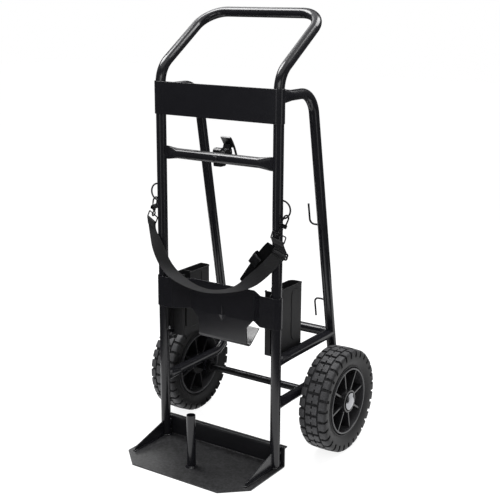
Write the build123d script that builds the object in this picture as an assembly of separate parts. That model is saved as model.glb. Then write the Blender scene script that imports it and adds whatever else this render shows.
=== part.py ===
from build123d import *
import math
import os

# Breaker cart in millimetres. +Z is up, -Y is the toe-plate side, +X is the right side.
# The ground is Z = 0, the two uprights stand in the plane Y = 0, X = 0 is the middle.
os.makedirs("parts", exist_ok=True)

# Main frame: one bent tube gives both uprights and the push handle
UPRIGHT_X = 194.5
UPRIGHT_R = 14.3
UPRIGHT_WALL = 2.0
HANDLE_BEND_Z = 1095.7
HANDLE_Y = 228.0
HANDLE_Z = 1246.5
HANDLE_BEND_R = 75.0
HANDLE_CORNER_R = 70.0

# Rear loops, braces and cross members
LOOP_TOP_Z = 1040.5
LOOP_TOP_Y = 168.6
LOOP_LOW_Z = 190.0
LOOP_LOW_Y = 327.7
LOOP_BEND_R = 71.5
BRACE_R = 14.3
BRACE_WALL = 2.0
BRACE_Z = 317.0
CROSSBAR_Z = 864.5
SQUEEZE_START = 58.0
SQUEEZE_TAPER = 34.0
SQUEEZE_THIN = 0.60
SQUEEZE_TALL = 1.29
CROSSBAR_THIN = 0.30
CROSSBAR_TALL = 1.32

# Sheet parts
SHEET = 3.0
WRAP_GAP = 0.1
WRAP_SWEEP = 103.0
NAME_PLATE_LOW_Z = 972.0
NAME_PLATE_HEIGHT = 90.5
CRADLE_LOW_Z = 414.0
CRADLE_HEIGHT = 89.0
CRADLE_FLANGE_X = 152.0
CRADLE_PANEL_X = 109.0
CRADLE_PANEL_Y = 18.5
FLAP_X = 84.0
FLAP_CHAMFER_Z = 389.0
TROUGH_Y = 23.0
TROUGH_Z = 318.0
TROUGH_LIP_Y = 85.0
TROUGH_LIP_Z = 369.0

# Toe plate, gussets and post
TOE_T = 4.0
TOE_X = 215.6
TOE_FRONT_Y = -214.0
TOE_CORNER_X = 68.0
TOE_CORNER_Y = 63.0
TOE_FLANGE_Y = 16.6
TOE_FLANGE_TOP = 60.0
TOE_LIP = 14.0
GUSSET_T = 4.0
GUSSET_FRONT_Y = -145.0
GUSSET_FRONT_Z = 15.0
GUSSET_TOP_Z = 50.0
POST_Y = -131.5
POST_R = 12.7
POST_BORE_R = 10.2
POST_TOP_Z = 160.0

# Pockets
POCKET_IN_X = 140.5
POCKET_OUT_X = 178.5
POCKET_FRONT_Y = 22.0
POCKET_REAR_Y = 160.0
POCKET_LOW_Z = 320.0
POCKET_TOP_Z = 507.0
POCKET_WALL = 3.0
POCKET_FLOOR = 5.5
POCKET_DIVIDER_Y = 66.0
EAR_X = 180.0
EAR_FRONT_Y = -9.0
EAR_Z = (346.0, 498.0)
EAR_TALL = 17.0
SCREW_R = 2.4
SCREW_HOLE_R = 2.6
SCREW_HEAD_R = 4.6

# Axle and wheels
AXLE_Y = 220.8
AXLE_Z = 152.4
AXLE_R = 11.0
AXLE_END_X = 313.0
BRACKET_X = 197.5
BRACKET_T = 8.0
BRACKET_R = 20.0
WHEEL_X = 267.7
TYRE_R = 152.4
TYRE_SIDE = 43.0
RIM_SEAT_R = 95.0
RIM_LIP_R = 99.0
RIM_LIP_Z = 32.0
RIM_EDGE_OUT_R = 97.5
RIM_EDGE_IN_R = 92.2
RIM_EDGE_Z = 39.0
RIM_BARREL_R = 91.0
HUB_R = 33.0
HUB_ROOT_R = 40.0
HUB_RIB_R = 34.0
HUB_IN = 36.0
HUB_OUT = 42.0
HUB_RECESS_R = 28.0
HUB_RECESS = 8.0
RIM_RIBS = 8
RIM_RIB_T = 5.0
RIM_RIB_TURN = 12.0
TREAD_BLOCKS = 30
TREAD_FLOOR_R = 145.8
TREAD_SLOT = 8.0
TREAD_GROOVE = 4.6
TREAD_GROOVE_Z = 20.0
TREAD_BRIDGE = 9.0
RUNNING_CLEARANCE = 0.05
CAP_R = 25.0
CAP_TOP_X = 318.0
CAP_BACK_X = 303.6

# Strap rings, cord hooks, snap hooks and links
RING_R = 24.0
RING_WIRE_R = 2.4
RING_X = 209.5
RING_Z = 747.0
HOOK_WIRE_R = 2.8
HOOK_BEND_R = 14.0
UPPER_HOOK_Z = (657.0, 717.0)
UPPER_HOOK_REACH = 41.0
LOWER_HOOK_Z = (423.0, 365.0)
LOWER_HOOK_REACH = 46.0
LEFT_BIGHT = (-221.2, 0.0, 721.7)
RIGHT_BIGHT = (220.4, 0.0, 723.5)
SNAP_WIRE_R = 2.2
SNAP_BIGHT_R = 9.2
SNAP_STEM = 18.0
SNAP_NOSE_Z = -6.0
SNAP_EYE_Z = -43.0
SNAP_EYE_R = 6.3
SNAP_EYE_WIRE_R = 2.0
GATE_PIVOT_Y = -9.2
GATE_PIVOT_Z = -19.0
GATE_R = 1.7
GATE_PIN_R = 1.0
GATE_HUB_R = 2.4
GATE_HUB_X = 1.7
GATE_TIP_GAP = 0.5
SNAP_BASE_X = 4.5
SNAP_BASE_UP = 4.0
SNAP_BASE_DOWN = 7.0
SNAP_BASE_FRONT = 3.0
SNAP_BASE_ROUND = 2.5
GATE_SLOT_X = 2.2
GATE_SLOT_LONG = 8.0
SWIVEL_R = 2.6
SWIVEL_COLLAR_R = 4.6
SWIVEL_COLLAR = 3.5
SWIVEL_GAP = 2.5
LINK_WIRE_R = 1.75
LINK_WIDE = 43.0
LINK_TALL = 19.0
LINK_EYE_GAP = 1.4
LINK_CORNER_R = 2.8
WEB_WIDE = 38.0
WEB_T = 2.0

# Handle latch on the crossbar
LATCH_X = 16.0
LATCH_PIN_Y = 38.0
LATCH_PIN_Z = 879.0
LATCH_PIN_R = 2.5
LATCH_HUB_R = 6.0
LATCH_HUB_X = 10.5
LATCH_HUB_GAP = 0.5


def save(name, shape):
    export_step(shape, f"parts/{name}.step")


def tube(path, radius, wall):
    start = Plane(origin=path @ 0, z_dir=path % 0)
    return sweep(start * (Circle(radius) - Circle(radius - wall)), path=path)


def wire(path, radius):
    start = Plane(origin=path @ 0, z_dir=path % 0)
    return sweep(start * Circle(radius), path=path)


def bar(start, end, radius):
    length = (Vector(*end) - Vector(*start)).length
    seat = Plane(origin=start, z_dir=Vector(*end) - Vector(*start))
    return seat * Cylinder(radius, length, align=(Align.CENTER, Align.CENTER, Align.MIN))


def squeezed_end(start, toward, thin, radius, wall, thin_share=SQUEEZE_THIN, tall_share=SQUEEZE_TALL):
    """Tube end pressed from round to a tall flat oval, with a short parallel land."""
    base = Plane(origin=start, x_dir=thin, z_dir=toward)
    tip = base.offset(SQUEEZE_TAPER)
    land = SQUEEZE_START - SQUEEZE_TAPER

    def body(inset):
        oval = tip * Ellipse(radius * thin_share - inset, radius * tall_share - inset)
        taper = loft([base * Circle(radius - inset), oval])
        return taper + extrude(oval, amount=land)

    return body(0) - body(wall)


def both(shape):
    return shape, mirror(shape, about=Plane.YZ)


# Uprights and push handle: a single steel tube with two lean-back bends and two corner bends,
# drilled for the pocket screws.
handle_path = FilletPolyline(
    (-UPRIGHT_X, 0, TOE_T),
    (-UPRIGHT_X, 0, HANDLE_BEND_Z),
    (-UPRIGHT_X, HANDLE_Y, HANDLE_Z),
    (UPRIGHT_X, HANDLE_Y, HANDLE_Z),
    (UPRIGHT_X, 0, HANDLE_BEND_Z),
    (UPRIGHT_X, 0, TOE_T),
    radius=(HANDLE_BEND_R, HANDLE_CORNER_R, HANDLE_CORNER_R, HANDLE_BEND_R),
)
frame_envelope = wire(handle_path, UPRIGHT_R)
main_frame_tube = tube(handle_path, UPRIGHT_R, UPRIGHT_WALL)
for ear_z in EAR_Z:
    for side in (-1, 1):
        main_frame_tube -= bar((side * 170, 0, ear_z), (side * UPRIGHT_X, 0, ear_z), SCREW_HOLE_R)
save("main_frame_tube", main_frame_tube)

# Rear loops: bent tube legs whose two squeezed ends are welded to the backs of the uprights.
loop_path = FilletPolyline(
    (UPRIGHT_X, SQUEEZE_START, LOOP_TOP_Z),
    (UPRIGHT_X, LOOP_TOP_Y, LOOP_TOP_Z),
    (UPRIGHT_X, LOOP_LOW_Y, LOOP_LOW_Z),
    (UPRIGHT_X, SQUEEZE_START, LOOP_LOW_Z),
    radius=LOOP_BEND_R,
)
rear_loop = tube(loop_path, UPRIGHT_R, UPRIGHT_WALL)
for end_z in (LOOP_TOP_Z, LOOP_LOW_Z):
    end_seat = (UPRIGHT_X, SQUEEZE_START, end_z)
    rear_loop += squeezed_end(end_seat, (0, -1, 0), (1, 0, 0), UPRIGHT_R, UPRIGHT_WALL)
rear_loop -= frame_envelope
right_rear_loop, left_rear_loop = both(rear_loop)
save("right_rear_loop", right_rear_loop)
save("left_rear_loop", left_rear_loop)


def leg_point(z, x=UPRIGHT_X):
    lean = (LOOP_LOW_Y - LOOP_TOP_Y) / (LOOP_TOP_Z - LOOP_LOW_Z)
    return (x, LOOP_TOP_Y + lean * (LOOP_TOP_Z - z), z)


def leg_envelope(side):
    return bar(leg_point(LOOP_LOW_Z, side * UPRIGHT_X), leg_point(LOOP_TOP_Z, side * UPRIGHT_X), UPRIGHT_R)


# Side braces: short tubes from upright to leg, squeezed at the front and coped at the back.
brace_end_y = leg_point(BRACE_Z)[1]
brace_round = bar((UPRIGHT_X, SQUEEZE_START, BRACE_Z), (UPRIGHT_X, brace_end_y, BRACE_Z), BRACE_R)
brace_bore = bar((UPRIGHT_X, SQUEEZE_START, BRACE_Z), (UPRIGHT_X, brace_end_y, BRACE_Z), BRACE_R - BRACE_WALL)
brace_seat = (UPRIGHT_X, SQUEEZE_START, BRACE_Z)
side_brace = brace_round - brace_bore
side_brace += squeezed_end(brace_seat, (0, -1, 0), (1, 0, 0), BRACE_R, BRACE_WALL)
side_brace -= frame_envelope
side_brace -= leg_envelope(1)
right_side_brace, left_side_brace = both(side_brace)
save("right_side_brace", right_side_brace)
save("left_side_brace", left_side_brace)

# Rear cross tube: ties the two legs behind the pockets, coped to both legs and clear of the braces.
cross_y = leg_point(BRACE_Z)[1]
rear_cross_tube = bar((-UPRIGHT_X, cross_y, BRACE_Z), (UPRIGHT_X, cross_y, BRACE_Z), BRACE_R)
rear_cross_tube -= bar((-UPRIGHT_X, cross_y, BRACE_Z), (UPRIGHT_X, cross_y, BRACE_Z), BRACE_R - BRACE_WALL)
for side in (-1, 1):
    rear_cross_tube -= leg_envelope(side)
    brace_line = bar((side * UPRIGHT_X, 0, BRACE_Z), (side * UPRIGHT_X, cross_y, BRACE_Z), BRACE_R)
    rear_cross_tube -= brace_line
save("rear_cross_tube", rear_cross_tube)

# Crossbar: straight tube between the uprights, squeezed nearly flat at both ends, drilled for the
# latch bolt.
crossbar_half = UPRIGHT_X - SQUEEZE_START
crossbar = bar((-crossbar_half, 0, CROSSBAR_Z), (crossbar_half, 0, CROSSBAR_Z), BRACE_R)
crossbar -= bar((-crossbar_half, 0, CROSSBAR_Z), (crossbar_half, 0, CROSSBAR_Z), BRACE_R - BRACE_WALL)
for side in (-1, 1):
    crossbar_seat = (side * crossbar_half, 0, CROSSBAR_Z)
    crossbar += squeezed_end(
        crossbar_seat, (side, 0, 0), (0, 1, 0), BRACE_R, BRACE_WALL, CROSSBAR_THIN, CROSSBAR_TALL
    )
crossbar -= frame_envelope
BOLT_R = 4.0
BOLT_HOLE_R = 4.3
crossbar -= bar((0, -20, CROSSBAR_Z), (0, 20, CROSSBAR_Z), BOLT_HOLE_R)
save("crossbar", crossbar)


# Name plate: bare sheet across the uprights' fronts, its ends rolled round their outer sides.
WRAP_R = UPRIGHT_R + WRAP_GAP + SHEET / 2


def wrap(side):
    start_angle = 270 if side > 0 else 270 - WRAP_SWEEP
    return CenterArc((side * UPRIGHT_X, 0), WRAP_R, start_angle, WRAP_SWEEP)


def sheet_band(middle, low_z, height):
    outline = trace([wrap(-1), middle, wrap(1)], line_width=SHEET)
    return Pos(0, 0, low_z) * extrude(outline, amount=height)


plate_front = Line((-UPRIGHT_X, -WRAP_R), (UPRIGHT_X, -WRAP_R))
name_plate = sheet_band(plate_front, NAME_PLATE_LOW_Z, NAME_PLATE_HEIGHT)
save("name_plate", name_plate)

# Cradle plate: wrapped on the uprights like the name plate, dished back in the middle, with a
# flap below it that turns up into an open trough.
SHEET_BEND_R = 9.0
TROUGH_BEND_R = 13.0
dish = FilletPolyline(
    (-UPRIGHT_X, -WRAP_R),
    (-CRADLE_FLANGE_X, -WRAP_R),
    (-CRADLE_PANEL_X, CRADLE_PANEL_Y),
    (CRADLE_PANEL_X, CRADLE_PANEL_Y),
    (CRADLE_FLANGE_X, -WRAP_R),
    (UPRIGHT_X, -WRAP_R),
    radius=SHEET_BEND_R,
)
cradle_plate = sheet_band(dish, CRADLE_LOW_Z, CRADLE_HEIGHT)
flap_top_z = CRADLE_LOW_Z + SHEET
flap_path = FilletPolyline(
    (CRADLE_PANEL_Y, flap_top_z),
    (CRADLE_PANEL_Y, CRADLE_LOW_Z - SHEET),
    (TROUGH_Y, TROUGH_Z),
    (TROUGH_LIP_Y, TROUGH_LIP_Z),
    radius=TROUGH_BEND_R,
)
flap_strip = Plane.YZ * trace(flap_path, line_width=SHEET)
flap = extrude(flap_strip, amount=CRADLE_PANEL_X, both=True, dir=(1, 0, 0))
flap_outline = Polyline(
    (-CRADLE_PANEL_X + SHEET, CRADLE_LOW_Z + 2 * SHEET),
    (CRADLE_PANEL_X - SHEET, CRADLE_LOW_Z + 2 * SHEET),
    (CRADLE_PANEL_X - SHEET, CRADLE_LOW_Z),
    (FLAP_X, FLAP_CHAMFER_Z),
    (FLAP_X, TROUGH_Z - 20),
    (-FLAP_X, TROUGH_Z - 20),
    (-FLAP_X, FLAP_CHAMFER_Z),
    (-CRADLE_PANEL_X + SHEET, CRADLE_LOW_Z),
    close=True,
)
flap_mask = extrude(Plane.XZ * make_face(flap_outline), amount=150, both=True)
cradle_plate += flap & flap_mask
DART_HALF = 13.0
DART_OUT = 6.0
DART_TIP = 0.08
DART_TOP_Z = 442.0
DART_LOW_Z = 397.0
FLAP_SET_BACK = 0.8


def dart_section(z, share, back_y):
    half = DART_HALF * share
    front_y = back_y - SHEET / 2 - DART_OUT * share
    ridge = ThreePointArc((-half, back_y), (0, front_y), (half, back_y))
    return Pos(0, 0, z) * make_face(ridge + Line((half, back_y), (-half, back_y)))


dart_root = dart_section(CRADLE_LOW_Z, 1.0, CRADLE_PANEL_Y)
cradle_plate += loft([dart_root, dart_section(DART_TOP_Z, DART_TIP, CRADLE_PANEL_Y)])
cradle_plate += loft([dart_root, dart_section(DART_LOW_Z, DART_TIP, CRADLE_PANEL_Y + FLAP_SET_BACK)])
save("cradle_plate", cradle_plate)

# Toe plate: floor with cropped front corners, bent up behind the uprights and turned back in a lip.
toe_mid = TOE_T / 2
toe_path = FilletPolyline(
    (TOE_FRONT_Y, toe_mid),
    (TOE_FLANGE_Y + toe_mid, toe_mid),
    (TOE_FLANGE_Y + toe_mid, TOE_FLANGE_TOP - toe_mid),
    (TOE_FLANGE_Y + toe_mid + TOE_LIP, TOE_FLANGE_TOP - toe_mid),
    radius=TOE_T,
)
toe_strip = Plane.YZ * trace(toe_path, line_width=TOE_T)
toe_plate = extrude(toe_strip, amount=TOE_X, both=True, dir=(1, 0, 0))
for side in (-1, 1):
    crop = Polyline(
        (side * TOE_X, TOE_FRONT_Y),
        (side * (TOE_X - TOE_CORNER_X), TOE_FRONT_Y),
        (side * TOE_X, TOE_FRONT_Y + TOE_CORNER_Y),
        close=True,
    )
    toe_plate -= extrude(make_face(crop), amount=TOE_T * 2, both=True)
save("toe_plate", toe_plate)

# Gussets: tapered plates standing on the toe plate in front of each upright.
gusset_outline = Polyline(
    (GUSSET_FRONT_Y, TOE_T),
    (GUSSET_FRONT_Y, GUSSET_FRONT_Z),
    (0, GUSSET_TOP_Z + 4),
    (0, TOE_T),
    close=True,
)
gusset = extrude(Plane.YZ * make_face(gusset_outline), amount=GUSSET_T / 2, both=True)
gusset = Pos(UPRIGHT_X, 0, 0) * gusset - frame_envelope
right_gusset, left_gusset = both(gusset)
save("right_gusset", right_gusset)
save("left_gusset", left_gusset)

# Tool post: open tube standing on the toe plate with a fillet of weld round its foot.
WELD = 5.0
tool_post = bar((0, POST_Y, TOE_T), (0, POST_Y, POST_TOP_Z), POST_R)
weld_ring = Cone(POST_R + WELD, POST_R, WELD, align=(Align.CENTER, Align.CENTER, Align.MIN))
tool_post += Pos(0, POST_Y, TOE_T) * weld_ring
tool_post -= bar((0, POST_Y, TOE_T), (0, POST_Y, POST_TOP_Z), POST_BORE_R)
save("tool_post", tool_post)

# Pockets: moulded open boxes with a beaded rim, each with a divider, a notched and slotted front cell,
# a well rounded inner back corner and a full-height fixing flange.
POCKET_CORNER_R = 4.5
POCKET_BACK_R = 16.0
POCKET_RIM = 4.0
POCKET_RIM_OUT = 1.0


def span_box(low, high):
    return Pos(*low) * Box(
        high[0] - low[0],
        high[1] - low[1],
        high[2] - low[2],
        align=(Align.MIN, Align.MIN, Align.MIN),
    )


TOUCH = 0.001


def is_corner(edge, low, high):
    spot = edge.center()
    on_x = min(abs(spot.X - low[0]), abs(spot.X - high[0])) < TOUCH
    on_y = min(abs(spot.Y - low[1]), abs(spot.Y - high[1])) < TOUCH
    return on_x and on_y


def rounded_box(low, high, corner_r, back_r):
    """Upright box whose inner back corner has a larger radius than its other three."""
    block = span_box(low, high)
    back_edge = block.edges().filter_by(Axis.Z).sort_by(Axis.Y)[-2:].sort_by(Axis.X)[0]
    block = fillet(back_edge, back_r)
    square = [edge for edge in block.edges().filter_by(Axis.Z) if is_corner(edge, low, high)]
    return fillet(square, corner_r)


pocket_low = (POCKET_IN_X, POCKET_FRONT_Y, POCKET_LOW_Z)
pocket_high = (POCKET_OUT_X, POCKET_REAR_Y, POCKET_TOP_Z)
pocket = rounded_box(pocket_low, pocket_high, POCKET_CORNER_R, POCKET_BACK_R)
rim_low = (POCKET_IN_X - POCKET_RIM_OUT, POCKET_FRONT_Y - POCKET_RIM_OUT, POCKET_TOP_Z - POCKET_RIM)
rim_high = (POCKET_OUT_X + POCKET_RIM_OUT, POCKET_REAR_Y + POCKET_RIM_OUT, POCKET_TOP_Z)
pocket += rounded_box(rim_low, rim_high, POCKET_CORNER_R + POCKET_RIM_OUT, POCKET_BACK_R + POCKET_RIM_OUT)


def pocket_cell(front_y, rear_y, back_r):
    low = (POCKET_IN_X + POCKET_WALL, front_y, POCKET_LOW_Z + POCKET_FLOOR)
    high = (POCKET_OUT_X - POCKET_WALL, rear_y, POCKET_TOP_Z + 1)
    return rounded_box(low, high, POCKET_WALL, back_r)


divider_half = POCKET_WALL / 2
CELL_BACK_R = 3.5
pocket -= pocket_cell(POCKET_FRONT_Y + POCKET_WALL, POCKET_DIVIDER_Y - divider_half, CELL_BACK_R)
rear_back_r = POCKET_BACK_R - POCKET_WALL
pocket -= pocket_cell(POCKET_DIVIDER_Y + divider_half, POCKET_REAR_Y - POCKET_WALL, rear_back_r)

NOTCH_FRONT_Y = 30.0
NOTCH_REAR_Y = 56.0
NOTCH_LOW_Z = 464.0
SLOT_REAR_Y = 37.0
SLOT_LOW_Z = 346.0
PANEL_FRONT_Y = 60.0
PANEL_REAR_Y = 112.0
PANEL_LOW_Z = 338.0
PANEL_TOP_Z = 496.0
PANEL_DEEP = 1.6
wall_out = POCKET_IN_X - 2 * POCKET_RIM_OUT
wall_in = POCKET_IN_X + POCKET_WALL + 1
pocket -= span_box((wall_out, NOTCH_FRONT_Y, NOTCH_LOW_Z), (wall_in, NOTCH_REAR_Y, POCKET_TOP_Z + 1))
pocket -= span_box((wall_out, NOTCH_FRONT_Y, SLOT_LOW_Z), (wall_in, SLOT_REAR_Y, NOTCH_LOW_Z + 1))
panel_high = (POCKET_IN_X + PANEL_DEEP, PANEL_REAR_Y, PANEL_TOP_Z)
pocket -= span_box((wall_out, PANEL_FRONT_Y, PANEL_LOW_Z), panel_high)

# Raised tall panel with an arched top on the pocket's outer side.
RAISED_FRONT_Y = 103.0
RAISED_REAR_Y = 145.0
RAISED_LOW_Z = 345.0
RAISED_TOP_Z = 495.0
RAISED_R = 19.0
raised = span_box((POCKET_OUT_X, RAISED_FRONT_Y, RAISED_LOW_Z), (EAR_X, RAISED_REAR_Y, RAISED_TOP_Z))
pocket += fillet(raised.edges().filter_by(Axis.X), RAISED_R)

EAR_T = 4.0
flange_low = (EAR_X - EAR_T, EAR_FRONT_Y, EAR_Z[0] - EAR_TALL / 2)
flange_high = (EAR_X, POCKET_FRONT_Y + POCKET_CORNER_R + 2, POCKET_TOP_Z)
flange = span_box(flange_low, flange_high)
pocket += fillet(flange.edges().filter_by(Axis.X).group_by(Axis.Y)[0], EAR_TALL / 2 - 1)
for ear_z in EAR_Z:
    pocket -= bar((EAR_X - 2 * EAR_T, 0, ear_z), (EAR_X + 1, 0, ear_z), SCREW_HOLE_R)
right_pocket, left_pocket = both(pocket)
save("right_pocket", right_pocket)
save("left_pocket", left_pocket)

# Pocket screws: four domed screws through the flanges into the uprights' inner walls.
SCREW_HEAD = 3.0
SCREW_LONG = 9.0
screws = []
for ear_z in EAR_Z:
    head_x = EAR_X - EAR_T
    shank = bar((head_x, 0, ear_z), (head_x + SCREW_LONG, 0, ear_z), SCREW_R)
    head = bar((head_x - SCREW_HEAD, 0, ear_z), (head_x, 0, ear_z), SCREW_HEAD_R)
    head = fillet(head.edges().group_by(Axis.X)[0], SCREW_HEAD * 0.7)
    screws.extend(both(shank + head))
save("pocket_screws", Compound(children=screws))

# Axle: one plain round bar through both brackets and both wheels.
axle = bar((-AXLE_END_X, AXLE_Y, AXLE_Z), (AXLE_END_X, AXLE_Y, AXLE_Z), AXLE_R)
axle = chamfer(axle.edges(), 1.0)
save("axle", axle)

# Axle brackets: drop plates welded under the lower runs of the loops, bored for the axle.
BRACKET_TOP_Y = 34.0
bracket_outline = make_hull(
    [
        Pos(AXLE_Y, AXLE_Z) * CenterArc((0, 0), BRACKET_R, 0, 360),
        Line((AXLE_Y - BRACKET_TOP_Y, LOOP_LOW_Z), (AXLE_Y + BRACKET_TOP_Y, LOOP_LOW_Z)),
    ]
)
bracket = extrude(Plane.YZ * bracket_outline, amount=BRACKET_T / 2, both=True)
bracket = Pos(BRACKET_X, 0, 0) * bracket
bracket -= bar((UPRIGHT_X, 0, LOOP_LOW_Z), (UPRIGHT_X, LOOP_LOW_Y, LOOP_LOW_Z), UPRIGHT_R)
bracket -= bar((0, AXLE_Y, AXLE_Z), (AXLE_END_X, AXLE_Y, AXLE_Z), AXLE_R + RUNNING_CLEARANCE)
right_axle_bracket, left_axle_bracket = both(bracket)
save("right_axle_bracket", right_axle_bracket)
save("left_axle_bracket", left_axle_bracket)

# Axle spacers: one long sleeve outside and one collar inside each bracket.
SPACER_R = 16.0
COLLAR_R = 18.0
COLLAR_LONG = 13.0
GAP = 0.4
bracket_out = BRACKET_X + BRACKET_T / 2 + GAP
bracket_in = BRACKET_X - BRACKET_T / 2 - GAP
hub_in_x = WHEEL_X - HUB_IN
sleeve = bar((bracket_out, AXLE_Y, AXLE_Z), (hub_in_x - GAP, AXLE_Y, AXLE_Z), SPACER_R)
collar = bar((bracket_in - COLLAR_LONG, AXLE_Y, AXLE_Z), (bracket_in, AXLE_Y, AXLE_Z), COLLAR_R)
collar = chamfer(collar.edges(), 1.2)
axle_clear = bar((0, AXLE_Y, AXLE_Z), (AXLE_END_X, AXLE_Y, AXLE_Z), AXLE_R + RUNNING_CLEARANCE)
spacers = []
for piece in (sleeve - axle_clear, collar - axle_clear):
    spacers.extend(both(piece))
save("axle_spacers", Compound(children=spacers))


def on_axle(shape):
    """Turns a wheel part from its own axis onto the right end of the axle."""
    return Plane(origin=(WHEEL_X, AXLE_Y, AXLE_Z), x_dir=(0, 1, 0), z_dir=(1, 0, 0)) * shape


# Rims: moulded wheel with a deep barrel under a raised edge, a closed web, eight level ribs a side and
# a long tapered hub recessed for the axle cap.
WEB_HALF = 3.0
RIB_SIDE = 34.0
LIP_T = 4.0
EDGE_ROUND = 1.2
rim_half = (
    (RIM_SEAT_R, RIM_LIP_Z - LIP_T),
    (RIM_LIP_R, RIM_LIP_Z - LIP_T),
    (RIM_LIP_R, RIM_LIP_Z),
    (RIM_EDGE_OUT_R, RIM_LIP_Z + EDGE_ROUND),
    (RIM_EDGE_OUT_R, RIM_EDGE_Z - EDGE_ROUND),
    (RIM_EDGE_OUT_R - EDGE_ROUND, RIM_EDGE_Z),
    (RIM_EDGE_IN_R + EDGE_ROUND, RIM_EDGE_Z),
    (RIM_EDGE_IN_R, RIM_EDGE_Z - EDGE_ROUND),
    (RIM_BARREL_R, WEB_HALF),
    (HUB_ROOT_R, WEB_HALF),
)
hub_outer = (
    (HUB_RIB_R, RIB_SIDE),
    (HUB_R, HUB_OUT),
    (HUB_RECESS_R, HUB_OUT),
    (HUB_RECESS_R, HUB_OUT - HUB_RECESS),
    (AXLE_R + RUNNING_CLEARANCE, HUB_OUT - HUB_RECESS),
)
hub_inner = ((AXLE_R + RUNNING_CLEARANCE, -HUB_IN), (HUB_R, -HUB_IN))
inner_half = tuple((radius, -side) for radius, side in reversed(rim_half))
rim_lines = Polyline(*inner_half, *rim_half, *hub_outer, *hub_inner, close=True)
rim = revolve(Plane.XZ * make_face(rim_lines), axis=Axis.Z)
rib_outline = Polyline(
    (HUB_R, -RIB_SIDE),
    (HUB_R, RIB_SIDE),
    (RIM_EDGE_IN_R + 1, RIB_SIDE),
    (RIM_EDGE_IN_R + 1, -RIB_SIDE),
    close=True,
)
rib = extrude(Plane.XZ * make_face(rib_outline), amount=RIM_RIB_T / 2, both=True)
for number in range(RIM_RIBS):
    rim += Rot(0, 0, RIM_RIB_TURN + number * 360 / RIM_RIBS) * rib
right_rim, left_rim = both(on_axle(rim))
save("right_rim", right_rim)
save("left_rim", left_rim)

# Tyres: knobbly tyres with a bead ridge outside the rim's edge, bulging sidewalls, bridged pairs of
# blocks round the crown and staggered shoulder lugs that run down the sidewalls.
SEAT_GAP = 0.3
BEAD_HALF = RIM_LIP_Z - LIP_T - SEAT_GAP
BEAD_LIP_R = RIM_LIP_R + SEAT_GAP * 2
RIDGE_R = BEAD_LIP_R + 4.5
RIDGE_Z = RIM_LIP_Z + 4.0
RIDGE_LEAN = 1.2
RIDGE_STEP = 2.0
BULGE_R = 122.0
BULGE_Z = 41.0
SHOULDER_R = 141.0
SHOULDER_Z = TYRE_SIDE
SHOULDER_MID_R = 147.0
SHOULDER_MID_Z = 41.5
CROWN_EDGE_R = 150.6
CROWN_EDGE_Z = 37.0
bead = (
    (RIM_SEAT_R + SEAT_GAP, BEAD_HALF),
    (BEAD_LIP_R, BEAD_HALF),
    (BEAD_LIP_R + RIDGE_LEAN, RIDGE_Z),
    (RIDGE_R, RIDGE_Z),
    (RIDGE_R + RIDGE_LEAN, RIDGE_Z - RIDGE_STEP),
)


def flip(points):
    return tuple((radius, -side) for radius, side in reversed(points))


side_arc = (bead[-1], (BULGE_R, BULGE_Z), (SHOULDER_R, SHOULDER_Z))
shoulder = ((SHOULDER_R, SHOULDER_Z), (SHOULDER_MID_R, SHOULDER_MID_Z), (CROWN_EDGE_R, CROWN_EDGE_Z))
tyre_lines = Polyline(*flip(bead), *bead)
tyre_lines += ThreePointArc(*side_arc)
tyre_lines += Polyline(*shoulder)
tyre_lines += ThreePointArc((CROWN_EDGE_R, CROWN_EDGE_Z), (TYRE_R, 0), (CROWN_EDGE_R, -CROWN_EDGE_Z))
tyre_lines += Polyline(*flip(shoulder))
tyre_lines += ThreePointArc(*flip(side_arc))
tyre = revolve(Plane.XZ * make_face(tyre_lines), axis=Axis.Z)
tread_deep = TYRE_R - TREAD_FLOOR_R + 2
for groove_z in (-TREAD_GROOVE_Z, TREAD_GROOVE_Z):
    groove = Pos(TREAD_FLOOR_R + tread_deep / 2, groove_z) * Rectangle(tread_deep, TREAD_GROOVE)
    tyre -= revolve(Plane.XZ * groove, axis=Axis.Z)

# Each crown pair is parted by a cross slot and by a slit that stops short of the bridge between them.
LUG_LOW_R = 129.0
LUG_DEEP = 4.0
tread_pitch = 2 * math.pi * TYRE_R / TREAD_BLOCKS
slit_half = (tread_pitch - TREAD_BRIDGE) / 2
tread_top = TYRE_R + 2
cross_slot = span_box(
    (TREAD_FLOOR_R, -TREAD_SLOT / 2, -TREAD_GROOVE_Z),
    (tread_top, TREAD_SLOT / 2, TREAD_GROOVE_Z),
)
slit = span_box((TREAD_FLOOR_R, -slit_half, -TREAD_GROOVE / 2), (tread_top, slit_half, TREAD_GROOVE / 2))
lug_lines = Polyline(
    (TREAD_FLOOR_R, TREAD_GROOVE_Z),
    (tread_top, TREAD_GROOVE_Z),
    (tread_top, SHOULDER_Z + 2),
    (LUG_LOW_R, SHOULDER_Z + 2),
    (LUG_LOW_R, SHOULDER_Z - 0.5),
    (LUG_LOW_R + 5, SHOULDER_Z - LUG_DEEP),
    (SHOULDER_R, SHOULDER_Z - LUG_DEEP),
    (TREAD_FLOOR_R, CROWN_EDGE_Z - 1),
    close=True,
)
lug_slot = extrude(Plane.XZ * make_face(lug_lines), amount=TREAD_SLOT / 2, both=True)
slots = []
for number in range(TREAD_BLOCKS):
    crown_turn = Rot(0, 0, number * 360 / TREAD_BLOCKS)
    lug_turn = Rot(0, 0, (number + 0.5) * 360 / TREAD_BLOCKS)
    slots.append(crown_turn * cross_slot)
    slots.append(crown_turn * slit)
    slots.append(lug_turn * lug_slot)
    slots.append(lug_turn * mirror(lug_slot, about=Plane.XY))
tyre -= slots
right_tyre, left_tyre = both(on_axle(tyre))
save("right_tyre", right_tyre)
save("left_tyre", left_tyre)

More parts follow.
